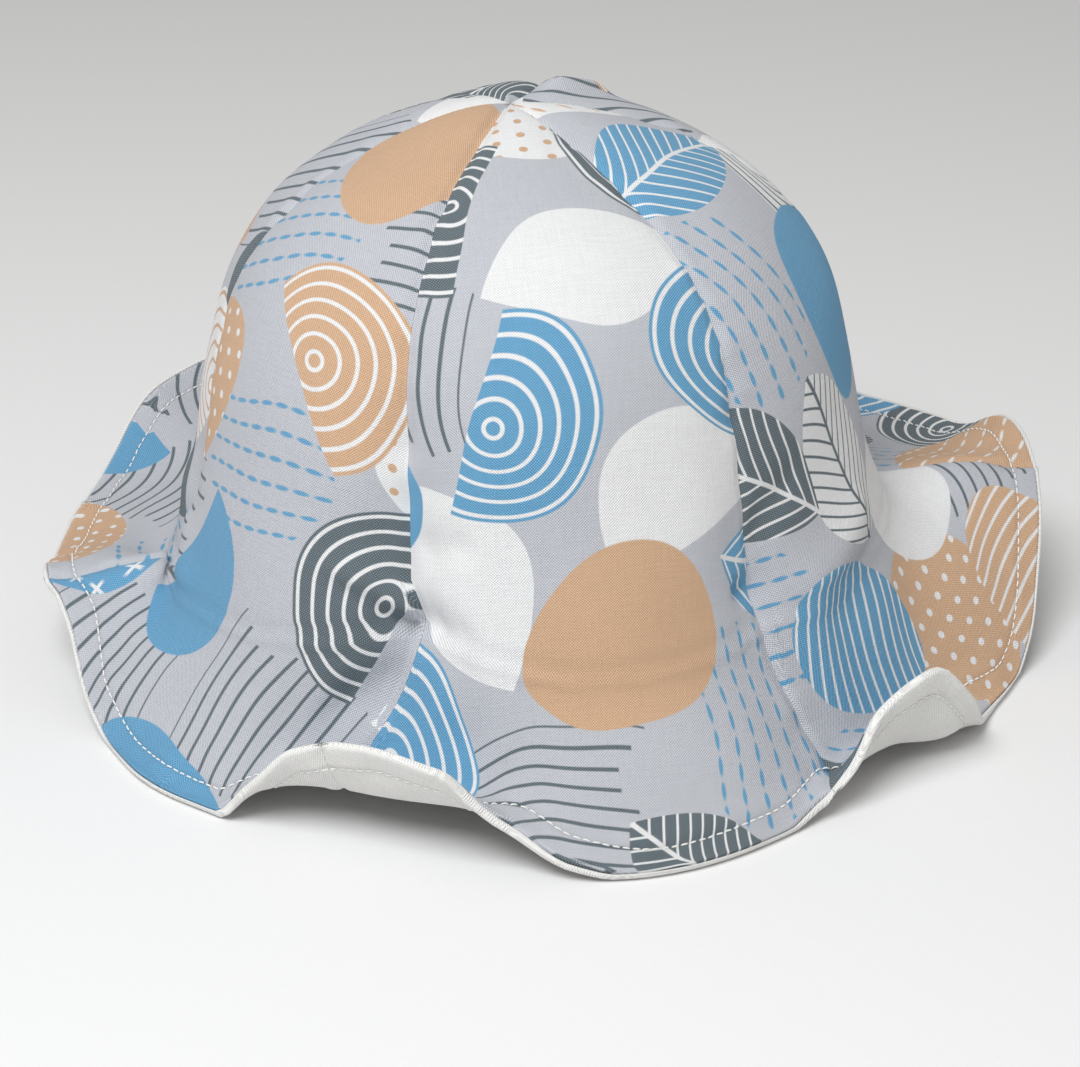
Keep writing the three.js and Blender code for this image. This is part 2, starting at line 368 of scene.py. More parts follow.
def atDown(index, down):
    # The level at a length down from the tip.
    return np.interp(down, cuts[index]["lengths"], cuts[index]["levels"])


def howFarDown(index, level):
    return np.interp(level, cuts[index]["levels"], cuts[index]["lengths"])


def cutWidth(index, level):
    return np.interp(level, cuts[index]["levels"], cuts[index]["widths"])


def besideSeam(index, across, level):
    return np.minimum(across, 1 - across) * cutWidth(index, level)


# How the way out of the cloth is found: steps down and across it, and how near a seam or tip counts
wayOut = dict(down=1.2, least=0.1, across=0.01, nearSeam=0.05, nearTip=0.12)


def clothNormal(index, across, level):
    # Both gores at a seam share it, and the tips face up.
    down = howFarDown(index, level)
    below = clothPoint(index, across, atDown(index, down + wayOut["down"]))
    higher = np.maximum(down - wayOut["down"], wayOut["least"])
    above = clothPoint(index, across, atDown(index, higher))
    left = clothPoint(index, np.maximum(across - wayOut["across"], 0), level)
    right = clothPoint(index, np.minimum(across + wayOut["across"], 1), level)
    angle = np.radians(goreAzimuth(index, across, level))
    ring = np.stack([np.cos(angle), np.sin(angle), np.zeros_like(angle)], axis=-1)
    nearSeam = np.clip(1 - np.minimum(across, 1 - across) / wayOut["nearSeam"], 0, 1)[..., None]
    aroundHat = unit(right - left) * (1 - nearSeam) + ring * nearSeam
    nearTip = np.clip(1 - level / wayOut["nearTip"], 0, 1)[..., None]
    outward = unit(np.cross(below - above, aroundHat))
    return unit(outward * (1 - nearTip) + np.array([0, 0, 1.0]) * nearTip)


def onCut(index, across, level):
    # A place on the gore's cut: millimetres from its middle line, and down from its tip.
    return (across - 0.5) * cutWidth(index, level), howFarDown(index, level)


# Tucks and soft folds, each from one place to another of its gore, as (across, down): the share of
# the gore's width, and millimetres down from its tip. The waist is about 138 down. The first width is
# that of the side above or right of the line. A negative height is a hollow.
tuckFade = dict(seam=2.2, ends=4, begun=0.3, grown=0.5)  # at a seam both gores meet
tuckColumns = ("gore", "start", "end", "height", "firstWidth", "otherWidth")
tuckRows = [
    ("left_front", (0.80, 122.5), (1.0, 136.5), 2.7, 5.5, 1.3),
    ("left_front", (0.90, 132), (1.0, 139.5), -1.5, 1.5, 4),
    ("left_front", (0.83, 149.5), (1.0, 145.5), -2.2, 3.6, 4),
    ("left_front", (0.10, 119), (0.16, 133), 2.2, 7, 7),
    ("front", (0.02, 123), (0.16, 117), -1.1, 3.2, 3.2),
    ("front", (0.03, 138.5), (0.13, 136.5), -1.3, 2.6, 3.2),
    ("front", (0.13, 139), (0.19, 151), -1.3, 5, 5),
    ("front", (0.92, 129), (1.0, 131), -1.7, 1.6, 2.6),
    ("right_front", (0.0, 119), (0.16, 110), -1.2, 3.5, 3.5),
    ("right_front", (0.12, 134), (0.46, 127), 1.5, 5, 6),
    ("right_front", (0.2, 142), (0.5, 136), -1.2, 6, 6),
    ("left_back", (0.55, 130), (0.9, 122), 1.3, 7, 6),
    ("right_back", (0.62, 9), (0.56, 22), 2.3, 2.8, 2.4),
    ("back", (0.35, 122), (0.7, 114), 1.2, 6, 6),
    ("right_back", (0.3, 114), (0.75, 124), 1.2, 7, 6),
]

# Hollows and bumps over a seam: the seam's place in order, millimetres down, height and radius
dimpleColumns = ("seam", "down", "height", "radius")
dimpleRows = [
    (2, 138.5, -2.6, 4.0),
    (3, 130, -1.6, 3.8),
    (1, 133, -1.5, 5),
    (1, 147, 5.6, 8),
    (1, 173, -1.6, 9),
    (0, 128, -1.6, 6),
    (4, 125, -2.0, 6),
    (5, 122, -1.4, 6),
    (5, 12, 1.2, 7),
]


def tuckLift(index, across, level):
    x, y = onCut(index, across, level)
    lift = np.zeros_like(x)
    for row in tuckRows:
        tuck = dict(zip(tuckColumns, row))
        if tuck["gore"] != seams[index]["gore"]:
            continue
        ends = [onCut(index, share, atDown(index, down)) for share, down in (tuck["start"], tuck["end"])]
        (startX, startY), (endX, endY) = ends
        wayX, wayY = endX - startX, endY - startY
        way = math.hypot(wayX, wayY)
        along = ((x - startX) * wayX + (y - startY) * wayY) / way**2
        aside = ((x - startX) * wayY - (y - startY) * wayX) / way
        past = np.maximum(np.maximum(-along, along - 1), 0) * way
        fade = near(past, tuckFade["ends"]) * smooth(along / tuckFade["grown"] + tuckFade["begun"])
        reach = np.where(aside > 0, tuck["firstWidth"], tuck["otherWidth"])
        lift += tuck["height"] * fade * near(aside, reach)
    return lift * smooth(besideSeam(index, across, level) / tuckFade["seam"])


def dimpleLift(points):
    lift = np.zeros(points.shape[:-1])
    for row in dimpleRows:
        dimple = dict(zip(dimpleColumns, row))
        level = atDown(dimple["seam"], dimple["down"])
        centre = clothPoint(dimple["seam"], np.array(0.0), level)
        away = np.linalg.norm(points - centre, axis=-1)
        lift += dimple["height"] * near(away, dimple["radius"])
    return lift


# Faint unevenness of soft cloth, as sums of waves through space, and puckers beside the stitching
unevenness = dict(
    waves=14,
    seed=5,
    slow=(22, 48),  # the shortest and longest wave
    quick=(6, 12),
    crownLift=0.24,
    brimLift=0.45,
    hemLift=0.16,
    seamLift=0.22,
    puckerReach=5,
    brimFrom=0.8,  # the levels where a share begins, and over which it grows
    brimOver=0.4,
    tipOver=0.15,
    seamOver=0.4,
)
chance = np.random.default_rng(unevenness["seed"])


def waveSet(shortest, longest):
    count = unevenness["waves"]
    ways = unit(chance.normal(size=(count, 3)))
    lengths = chance.uniform(shortest, longest, count)
    return ways * (2 * math.pi / lengths)[:, None], chance.uniform(0, 2 * math.pi, count)


slowWaves = waveSet(*unevenness["slow"])
quickWaves = waveSet(*unevenness["quick"])


def waves(points, chosen):
    ways, phases = chosen
    return np.sin(points @ ways.T + phases).sum(-1) / math.sqrt(len(phases) / 2)


def clothLift(index, across, level, hemDistance, points):
    onBrim = smooth((level - unevenness["brimFrom"]) / unevenness["brimOver"])
    slow = unevenness["crownLift"] + (unevenness["brimLift"] - unevenness["crownLift"]) * onBrim
    awayFromTip = smooth(level / unevenness["tipOver"])
    reach = unevenness["puckerReach"]
    atHem = unevenness["hemLift"] * near(hemDistance - topstitch["fromHem"], reach)
    atSeam = unevenness["seamLift"] * near(besideSeam(index, across, level), reach)
    pucker = np.maximum(atHem, atSeam * smooth(level / unevenness["seamOver"]))
    lift = slow * awayFromTip * waves(points, slowWaves) + pucker * waves(points, quickWaves)
    return lift + tuckLift(index, across, level) + dimpleLift(points)


def easedPoint(index, across, level):
    # The cloth rounds the corner between the crown and the brim.
    down = howFarDown(index, level)
    fromWaist = down - howFarDown(index, 1.0)
    reach = cloth["waistEase"] * near(fromWaist, cloth["waistReach"])
    above = clothPoint(index, across, atDown(index, down - reach))
    below = clothPoint(index, across, atDown(index, down + reach))
    eased = 0.5 * (above + below)
    return np.where((reach > cloth["leastEase"])[..., None], eased, clothPoint(index, across, level))


def clothFace(index, across, level, hemDistance, depth):
    # A point at a depth under the printed face, with the folds, and pressed flat on the floor.
    points = easedPoint(index, across, level)
    lift = clothLift(index, across, level, hemDistance, points)
    placed = points + clothNormal(index, across, level) * (lift - depth)[..., None]
    lowest = clothDepth - depth
    above = placed[..., 2] - lowest
    ease = cloth["floorEase"]
    placed[..., 2] = lowest + 0.5 * (above + np.sqrt(above**2 + 4 * ease**2))
    return placed


def hemReach(index, across):
    # Millimetres of cloth to one level, at the hem.
    step = 0.05
    hem = clothPoint(index, across, np.full_like(across, 2.0))
    above = clothPoint(index, across, np.full_like(across, 2 - step))
    return np.linalg.norm(hem - above, axis=-1) / step


def hemLevel(index, across, distance):
    # The level at a distance from the print's hem.
    return 2 - (distance + cloth["lip"]) / hemReach(index, across)


def goreGrid(index, lip):
    # A gore's rows and columns: across, level and distance from its own hem, lip past the print's.
    share = np.linspace(0, 1, cloth["columns"])
    across = share - cloth["columnPull"] * np.sin(2 * math.pi * share) / (2 * math.pi)
    tip = 2 / math.pi * math.asin((crown["tipHole"] / crown["radius"]) ** (crown["shoulder"] / 2))
    downs = np.linspace(howFarDown(index, tip), howFarDown(index, 1.0), cloth["crownRows"])
    crownLevels = atDown(index, downs[:-1])
    lastBrim = hemLevel(index, across, hemDistances[0] - lip)
    brimShare = np.linspace(0, 1, cloth["brimRows"])[:-1]
    brimLevels = 1 + (lastBrim - 1)[:, None] * brimShare
    hemLevels = np.stack([hemLevel(index, across, distance - lip) for distance in hemDistances], axis=1)
    level = np.concatenate([np.tile(crownLevels, (len(across), 1)), brimLevels, hemLevels], axis=1)
    hemDistance = (2 - level) * hemReach(index, across)[:, None] - cloth["lip"] + lip
    middle = clothPoint(index, np.full(level.shape[1], 0.5), level[len(across) // 2])
    goreWidth = np.hypot(middle[:, 0], middle[:, 1]) * 2 * math.pi / len(seams)
    halfGap = 0.5 * cloth["seamGap"] / (goreWidth + cloth["leastWidth"])
    wide = halfGap + (1 - 2 * halfGap) * across[:, None]
    return wide, level, hemDistance


def seamTurn(index, across, level):
    return cloth["seamDip"] * near(besideSeam(index, across, level), cloth["seamRound"])


def edgeTurn(distance, radius, drop):
    # How far a rounded edge has turned away, at a distance from its end.
    inside = np.clip(1 - distance / radius, 0, 1)
    return drop * (1 - np.sqrt(1 - inside**2))


def stitchFurrow(distance):
    return topstitch["dip"] * near(distance - topstitch["fromHem"], topstitch["furrow"])


def printDepths(index, across, level, distance):
    atHem = edgeTurn(distance, cloth["hemRound"], cloth["hemTurn"])
    outer = np.maximum(seamTurn(index, across, level), atHem) + stitchFurrow(distance)
    return np.minimum(outer, cloth["deepest"]), np.full_like(outer, cloth["thickness"])


def liningDepths(index, across, level, distance):
    rolled = cloth["lipRise"] * smooth((cloth["lip"] - distance) / cloth["lipStep"])
    rounded = edgeTurn(distance, cloth["lipRound"], cloth["lipTuck"] + cloth["lipRise"])
    outer = liningDepth - rolled + rounded
    turned = seamTurn(index, across, level) + stitchFurrow(distance - cloth["lip"])
    turned = np.minimum(turned, cloth["insideTurn"])
    inner = clothDepth - turned - edgeTurn(distance, cloth["insideRound"], cloth["insideTurn"])
    return outer, inner


# How a gore is laid flat: the coarse grid, and the rounds of easing for it and for the fine one
laying = dict(columns=23, rows=36, coarseRounds=500, fineRounds=60, easing=0.3)


def relaxed(flat, points, rounds):
    # Draws a flat grid to the lengths that its edges and diagonals have in the shaped cloth.
    every, later, former = slice(None), slice(1, None), slice(None, -1)
    links = [
        ((later, every), (former, every)),
        ((every, later), (every, former)),
        ((later, later), (former, former)),
        ((later, former), (former, later)),
    ]
    lengths = [np.linalg.norm(points[a] - points[b], axis=-1) for a, b in links]
    for _ in range(rounds):
        moved = np.zeros_like(flat)
        for (a, b), wanted in zip(links, lengths):
            way = flat[a] - flat[b]
            now = np.maximum(np.linalg.norm(way, axis=-1), 1e-6)
            half = way * (0.5 * (wanted - now) / now)[..., None]
            moved[a] += half
            moved[b] -= half
        flat = flat + moved * laying["easing"]
    return flat


def spreadOut(values, some, count):
    # Fills in the columns between some columns of a grid of pairs.
    lines = [[np.interp(np.arange(count), some, line[:, way]) for way in range(2)] for line in values]
    return np.array(lines).transpose(0, 2, 1)


def flattened(points):
    # A gore as it was cut, in millimetres: first coarsely, for the form, and then finely.
    columns, rows = points.shape[:2]
    arcs = np.linalg.norm(np.diff(points, axis=0), axis=-1)
    wide = np.concatenate([np.zeros((1, rows)), np.cumsum(arcs, axis=0)])
    wide -= wide[columns // 2]
    arcs = np.linalg.norm(np.diff(points[columns // 2], axis=0), axis=-1)
    long = np.broadcast_to(np.concatenate([[0], np.cumsum(arcs)]), wide.shape)
    flat = np.stack([wide, long], -1)
    someColumns = np.unique(np.linspace(0, columns - 1, laying["columns"]).round().astype(int))
    someRows = np.unique(np.linspace(0, rows - 1, laying["rows"]).round().astype(int))
    coarse = np.ix_(someColumns, someRows)
    shift = relaxed(flat[coarse], points[coarse], laying["coarseRounds"]) - flat[coarse]
    shift = spreadOut(shift, someRows, rows)
    shift = spreadOut(shift.transpose(1, 0, 2), someColumns, columns).transpose(1, 0, 2)
    flat = relaxed(flat + shift, points, laying["fineRounds"])
    a, b, c, d = flat[:-1, :-1], flat[:-1, 1:], flat[1:, 1:], flat[1:, :-1]
    across, down = c - a, b - d
    area = 0.5 * np.abs(across[..., 0] * down[..., 1] - across[..., 1] * down[..., 0]).sum()
    spans = np.ptp(flat.reshape(-1, 2), axis=0)
    return flat, dict(width=float(spans[0]), length=float(spans[1]), area=float(area))


# Where the cloth is worn, how far the painted shade along the topstitching reaches, and how far apart on
# the bolt the gores are cut
wear = dict(seam=0.6, reach=0.9, stitchShadeReach=0.55, onBolt=(57.0, 83.0))


def linked(name, data):
    made = bpy.data.objects.new(name, data)
    bpy.context.scene.collection.objects.link(made)
    return made


def smoothMesh(name, points, faces):
    mesh = bpy.data.meshes.new(name)
    mesh.from_pydata((points * mm).tolist(), [], faces)
    mesh.polygons.foreach_set("use_smooth", np.ones(len(faces), bool))
    return mesh


def shellMesh(name, outer, inner, smoothed, patch, aside, distance):
    # Closes two grids of points into one body, with its cut's coordinates for the print and weave.
    columns, rows = outer.shape[:2]
    count = columns * rows
    grid = np.arange(count).reshape(columns, rows)
    a, b, c, d = grid[:-1, :-1], grid[:-1, 1:], grid[1:, 1:], grid[1:, :-1]
    faces = [np.stack([a, b, c, d], -1).reshape(-1, 4)]
    faces.append(np.stack([a, d, c, b], -1).reshape(-1, 4) + count)
    rims = [grid[::-1, 0], grid[:, -1], grid[0, :], grid[-1, ::-1]]
    for rim in rims:
        faces.append(np.stack([rim[1:], rim[:-1], rim[:-1] + count, rim[1:] + count], -1))
    points = np.concatenate([outer.reshape(-1, 3), inner.reshape(-1, 3)])
    mesh = smoothMesh(name, points, np.concatenate(faces).tolist())
    flat, size = flattened(smoothed)
    cut = np.tile(flat.reshape(-1, 2) + np.array(wear["onBolt"]) * patch, (2, 1)) * mm
    corners = np.zeros(len(mesh.loops), int)
    mesh.loops.foreach_get("vertex_index", corners)
    layer = mesh.uv_layers.new(name="cut")
    layer.data.foreach_set("uv", cut[corners].ravel())
    worn = np.maximum(near(aside, wear["reach"]) * wear["seam"], near(distance, wear["reach"]))
    # painted shade: a mask along the topstitching's furrow that darkens the cloth's colour there
    stitchShade = near(distance - topstitch["fromHem"], wear["stitchShadeReach"])
    for label, values in (("worn", worn), ("stitchShade", stitchShade)):
        attribute = mesh.attributes.new(label, "FLOAT", "POINT")
        attribute.data.foreach_set("value", np.tile(values.ravel(), 2).astype(np.float32))
    return linked(name, mesh), size


# The hat's box in the frame is centred over the origin, and the hem is its widest line.
hemLine = np.concatenate([
    clothPoint(index, np.linspace(0, 1, 181), np.full(181, 2.0)) for index in range(len(seams))
])
hemCentre = 0.5 * (hemLine.min(0) + hemLine.max(0))
boxCentre = 0.5 * (np.array(cadBox[0]) + np.array(cadBox[1])) / mm
placement = np.array([boxCentre[0] - hemCentre[0], boxCentre[1] - hemCentre[1], 0])


def addGore(index, layer, lip, depths, material):
    across, level, distance = goreGrid(index, lip)
    outerDepth, innerDepth = depths(index, across, level, distance)
    fromPrintHem = distance - lip
    outer = clothFace(index, across, level, fromPrintHem, outerDepth) + placement
    inner = clothFace(index, across, level, fromPrintHem, innerDepth) + placement
    plain = clothPoint(index, across, level)
    aside = besideSeam(index, across, level)
    node = f"{layer}_gore_{seams[index]['gore']}"
    piece, size = shellMesh(f"{node}_cloth", outer, inner, plain, index, aside, fromPrintHem)
    piece.data.materials.append(material)
    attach(piece, "root")
    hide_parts(node)


def stitchLine(depth, side):
    # The line of the topstitching round the whole hat, and the way out of the cloth.
    points = []
    normals = []
    for index in range(len(seams)):
        across = np.linspace(0, 1, topstitch["samples"], endpoint=False)
        distance = np.full_like(across, topstitch["fromHem"])
        level = hemLevel(index, across, distance)
        points.append(clothFace(index, across, level, distance, np.full_like(across, depth)))
        normals.append(clothNormal(index, across, level) * side)
    return np.concatenate(points) + placement, np.concatenate(normals)


def addTopstitch(material):
    vertices = []
    faces = []
    rings, sides = topstitch["rings"], topstitch["sides"]
    draw = np.random.default_rng(topstitch["seed"])
    for depth, side in ((topstitch["dip"], 1), (clothDepth - topstitch["dip"], -1)):
        line, outward = stitchLine(depth, side)
        closed = np.vstack([line, line[:1]])
        at = np.concatenate([[0], np.cumsum(np.linalg.norm(np.diff(closed, axis=0), axis=1))])
        count = int(at[-1] / topstitch["pitch"])
        pitch = at[-1] / count
        for stitch in range(count):
            start = stitch * pitch + draw.uniform(*topstitch["shift"])
            reach = topstitch["length"] * draw.uniform(*topstitch["lengths"])
            slant = draw.uniform(*topstitch["slant"])
            base = len(vertices)
            for ring in range(rings):
                share = ring / (rings - 1)
                spot = (start + reach * share) % at[-1]
                middle = np.array([np.interp(spot, at, closed[:, way]) for way in range(3)])
                row = min(int(np.searchsorted(at, spot)), len(line) - 1)
                up = outward[row]
                along = unit(line[(row + 2) % len(line)] - line[row - 2])
                aside = np.cross(up, along)
                bow = 4 * share * (1 - share)
                middle = middle + up * (topstitch["sink"] * (topstitch["rise"] * bow - 1))
                middle = middle + aside * slant * (share - 0.5) * 2
                thin = topstitch["endRadius"]
                radius = topstitch["radius"] * (thin + (1 - thin) * math.sqrt(bow))
                for corner in range(sides):
                    angle = 2 * math.pi * corner / sides
                    out = aside * math.cos(angle) + up * topstitch["flat"] * math.sin(angle)
                    vertices.append(middle + radius * out)
            for ring in range(rings - 1):
                for corner in range(sides):
                    first = base + ring * sides + corner
                    second = base + ring * sides + (corner + 1) % sides
                    faces.append((first, first + sides, second + sides, second))
            last = base + (rings - 1) * sides
            faces.append(tuple(base + corner for corner in range(sides)))
            faces.append(tuple(last + corner for corner in reversed(range(sides))))
    piece = linked("hem_topstitching", smoothMesh("hem_topstitching", np.array(vertices), faces))
    piece.data.materials.append(material)
    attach(piece, "root")


# The nodes of the materials
def feed(socket, value):
    if isinstance(value, bpy.types.NodeSocket):
        socket.id_data.links.new(value, socket)
    else:
        socket.default_value = value


def addNode(kind, inputs, **settings):
    # A new node in the tree that one of its inputs comes from.
    source = next(value for value in inputs.values() if isinstance(value, bpy.types.NodeSocket))
    made = source.id_data.nodes.new("ShaderNode" + kind)
    for name, value in settings.items():
        setattr(made, name, value)
    for name, value in inputs.items():
        feed(made.inputs[name], value)
    return made.outputs


def maths(operation, *values):
    return addNode("Math", dict(enumerate(values)), operation=operation)[0]


def vectorMaths(operation, *values):
    made = addNode("VectorMath", dict(enumerate(values)), operation=operation)
    return made["Value" if operation == "LENGTH" else "Vector"]


def times(vector, scale):
    return addNode("VectorMath", {0: vector, "Scale": scale}, operation="SCALE")["Vector"]


def mixColour(factor, first, second):
    return addNode("Mix", {"Factor": factor, 6: first, 7: second}, data_type="RGBA")[2]


def spread(value, low, high):
    # Eased from 0 to 1 between two values.
    inputs = {"Value": value, "From Min": low, "From Max": high}
    return addNode("MapRange", inputs, interpolation_type="SMOOTHSTEP")["Result"]


def noise(vector, scale, detail=2.0):
    return addNode("TexNoise", {"Vector": vector, "Scale": scale, "Detail": detail})


def turnedFlat(vector, angle):
    inputs = {"Vector": vector, "Angle": angle}
    return addNode("VectorRotate", inputs, rotation_type="Z_AXIS")[0]


def split(vector):
    return list(addNode("SeparateXYZ", {0: vector}))


def join(x, y, z=0.0):
    return addNode("CombineXYZ", {0: x, 1: y, 2: z})[0]


def inkSteps(value, colours):
    # One colour after another as value goes from 0 to 1, all with the same share.
    made = value.id_data.nodes.new("ShaderNodeValToRGB")
    ramp = made.color_ramp
    ramp.interpolation = "CONSTANT"
    while len(ramp.elements) < len(colours):
        ramp.elements.new(0.5)
    for place, colour in enumerate(colours):
        ramp.elements[place].position = place / len(colours)
        ramp.elements[place].color = (*colour, 1)
    feed(made.inputs["Fac"], value)
    return made.outputs["Color"]


def startMaterial(name):
    material = bpy.data.materials.new(name)
    material.use_nodes = True
    material.node_tree.nodes.clear()
    return material


def attribute(material, name):
    made = material.node_tree.nodes.new("ShaderNodeAttribute")
    made.attribute_name = name
    return made.outputs["Fac"]


def cutInMillimetres(material):
    made = material.node_tree.nodes.new("ShaderNodeUVMap")
    made.uv_map = "cut"
    return times(made.outputs["UV"], 1 / mm)


def inSpace(material):
    return material.node_tree.nodes.new("ShaderNodeTexCoord").outputs["Object"]


def finishMaterial(material, colour, height, bump, settings):
    # Joins up a colour, a height with the bump's strength and distance, and the shader's settings.
    inputs = {"Height": height, "Strength": bump[0], "Distance": bump[1]}
    relief = addNode("Bump", inputs)["Normal"]
    shader = addNode("BsdfPrincipled", {"Base Color": colour, "Normal": relief} | settings)[0]
    addNode("OutputMaterial", {"Surface": shader})
    return material


# The woven cotton: plain weave with uneven threads, and painted shade between the threads and along the
# topstitching
weave = dict(
    thread=0.29,
    slubLength=6.0,
    slubRelief=1.2,
    weftShift=7.0,  # so that both sets of threads are uneven in their own way
    bump=(0.75, 0.00012),
    # painted shade of the weave: the colour lighter on the raised threads and darker between them
    weaveShadeTone=0.2,
    slubTone=0.12,
    # painted shade along the topstitching's furrow
    stitchShadeTone=-0.10,
    wornTone=0.06,
    bare=0.19,  # share of white thread that shows on the crests of the print's weave
    bareBetween=(0.1, 0.9),
    gloss=0.25,
    sheenRoughness=0.45,
)


def wovenHeight(cut):
    # Threads over and under each other, and the uneven thickness of both sets of threads.
    x, y = split(cut)[:2]
    turns = math.pi / weave["thread"]
    over = maths("SINE", maths("MULTIPLY", x, turns))
    under = maths("SINE", maths("MULTIPLY", y, turns))
    checker = maths("MULTIPLY", over, under)
    long = 1 / weave["slubLength"]
    short = 1 / (2 * weave["thread"])
    slubs = []
    for scaleX, scaleY, shift in ((short, long, 0.0), (long, short, weave["weftShift"])):
        scaled = join(maths("MULTIPLY", x, scaleX), maths("MULTIPLY", y, scaleY), shift)
        slubs.append(noise(scaled, 1.0)["Fac"])
    return checker, maths("SUBTRACT", maths("ADD", *slubs), 1.0)


def clothShader(material, colour, checker, slubs, roughness, sheen):
    # painted shade of the weave: lighter on the raised threads, darker between them
    toneAndShade = maths("MULTIPLY", checker, weave["weaveShadeTone"])
    toneAndShade = maths("MULTIPLY_ADD", slubs, weave["slubTone"], toneAndShade)
    # painted shade: the colour darker along the topstitching's furrow
    toneAndShade = maths("MULTIPLY_ADD", attribute(material, "stitchShade"), weave["stitchShadeTone"], toneAndShade)
    toneAndShade = maths("MULTIPLY_ADD", attribute(material, "worn"), weave["wornTone"], toneAndShade)
    tonedAndShaded = times(colour, maths("ADD", toneAndShade, 1.0))
    height = maths("MULTIPLY_ADD", slubs, weave["slubRelief"], checker)
    settings = {
        "Roughness": roughness,
        "Specular IOR Level": weave["gloss"],
        "Sheen Weight": sheen,
        "Sheen Roughness": weave["sheenRoughness"],
    }
    return finishMaterial(material, tonedAndShaded, height, weave["bump"], settings)


# The print: pebbles, leaves and half moons like cut paper, on a lavender grey ground. Two sets of
# places share one turned grid, and the second lies under the first, between its places.
inks = dict(
    ground=(0.525, 0.54, 0.585),
    white=(0.83, 0.83, 0.835),
    blue=(0.115, 0.345, 0.565),
    tan=(0.64, 0.405, 0.245),
    slate=(0.105, 0.14, 0.16),
)
layout = dict(
    spacing=50.0,
    turn=17.0,
    wobble=6.5,
    wobbleScale=0.036,
    motif=16,  # a motif's usual reach from its centre
    softEdge=0.17,  # half the soft edge of the ink
    reshuffle=7.3,  # makes another chance number out of one
)
sets = [
    dict(
        shift=25.0,
        drift=0.12,
        seed=4.7,
        shapes=("leaf", "reeds", "pebble", "rain", "moon"),
        bases=("slate", "white", "white", "white", "tan"),
        marks=("white", "tan", "slate", "tan", "white"),
    ),
    dict(
        shift=0.0,
        drift=0.10,
        seed=1.3,
        shapes=("pebble", "leaf", "oval", "moon"),
        bases=("blue", "tan", "white", "slate", "tan", "blue"),
        marks=("white", "white", "slate", "white", "white", "white"),
    ),
]


def edgeMask(value, size):
    # 1 inside, where value is under 1.
    soft = layout["softEdge"] / size
    return spread(value, 1 + soft, 1 - soft)


def motifPlace(turned, motifs):
    # Which motif a point belongs to: its place in the motif's own turned frame, and chance numbers.
    half = (0.5, 0.5, 0.5)
    moved = vectorMaths("ADD", turned, (motifs["shift"], motifs["shift"], 0))
    scaled = times(moved, 1 / layout["spacing"])
    cell = vectorMaths("FLOOR", scaled)
    seeded = vectorMaths("ADD", cell, (0, 0, motifs["seed"]))
    drawn = addNode("TexWhiteNoise", {"Vector": seeded}, noise_dimensions="3D")
    chance = drawn["Value"]
    spin, _, kind = split(drawn["Color"])
    local = vectorMaths("SUBTRACT", vectorMaths("SUBTRACT", scaled, cell), half)
    offset = vectorMaths("SUBTRACT", drawn["Color"], half)
    local = vectorMaths("SUBTRACT", local, times(offset, motifs["drift"]))
    local = times(local, layout["spacing"])
    x, y = split(turnedFlat(local, maths("MULTIPLY", spin, 2 * math.pi)))[:2]
    return x, y, kind, maths("FRACT", maths("MULTIPLY", chance, layout["reshuffle"])), chance


def fromMiddle(value, pitch):
    # From -0.5 to 0.5 across each pitch.
    return maths("SUBTRACT", maths("FRACT", maths("DIVIDE", value, pitch)), 0.5)


def lattice(x, y, pitch):
    # Place from the nearest of many spots a pitch apart, each other row set off by half.
    row = maths("FLOOR", maths("DIVIDE", y, pitch))
    offset = maths("MULTIPLY", maths("MODULO", maths("ABSOLUTE", row), 2.0), pitch / 2)
    nearX = fromMiddle(maths("ADD", x, offset), pitch)
    return maths("MULTIPLY", nearX, pitch), maths("MULTIPLY", fromMiddle(y, pitch), pitch)


def ovalReach(x, y, wide=1.0, high=1.0):
    return vectorMaths("LENGTH", join(maths("DIVIDE", x, wide), maths("DIVIDE", y, high)))


def dots(x, y, pitch=5.2, radius=0.9):
    nearX, nearY = lattice(x, y, pitch)
    return edgeMask(ovalReach(nearX, nearY, radius, radius), radius)


def dashes(x, y, pitch=5.6, long=1.9, half=0.42):
    nearX, nearY = lattice(x, y, pitch)
    return edgeMask(ovalReach(nearX, nearY, long, half), half)


def crosses(x, y, pitch=7.4, arm=2.0, half=0.42):
    nearX, nearY = lattice(x, y, pitch)
    wideX = maths("ABSOLUTE", nearX)
    wideY = maths("ABSOLUTE", nearY)
    upright = maths("MAXIMUM", maths("DIVIDE", wideX, half), maths("DIVIDE", wideY, arm))
    level = maths("MAXIMUM", maths("DIVIDE", wideY, half), maths("DIVIDE", wideX, arm))
    return edgeMask(maths("MINIMUM", upright, level), half)


def lines(value, pitch, width):
    off = maths("MULTIPLY", maths("ABSOLUTE", fromMiddle(value, pitch)), 2 * pitch / width)
    return edgeMask(off, width / 2)


def oneOf(chance, values):
    # The value whose turn it is as chance goes from 0 to 1.
    chosen = None
    for place, value in enumerate(values):
        above = maths("GREATER_THAN", chance, place / len(values) - (place == 0))
        below = maths("LESS_THAN", chance, (place + 1) / len(values))
        part = maths("MULTIPLY", maths("MULTIPLY", above, below), value)
        chosen = part if chosen is None else maths("ADD", chosen, part)
    return chosen


# Each motif gives its outline, which is under 1 inside, and the marks that fill it.
def pebble(x, y, fill, wide=18.5, high=21.5, narrower=0.27):
    narrowing = maths("MULTIPLY_ADD", y, -narrower / high, 1.0)
    value = ovalReach(maths("DIVIDE", x, narrowing), y, wide, high)
    rings = lines(maths("MULTIPLY", value, high), pitch=3.7, width=0.9)
    return value, oneOf(fill, [dots(x, y), rings, 0.0, dashes(x, y)])


def oval(x, y, fill, wide=22.5, high=16.5):
    value = ovalReach(x, y, wide, high)
    return value, oneOf(fill, [crosses(x, y), lines(x, pitch=3.3, width=0.75), 0.0])


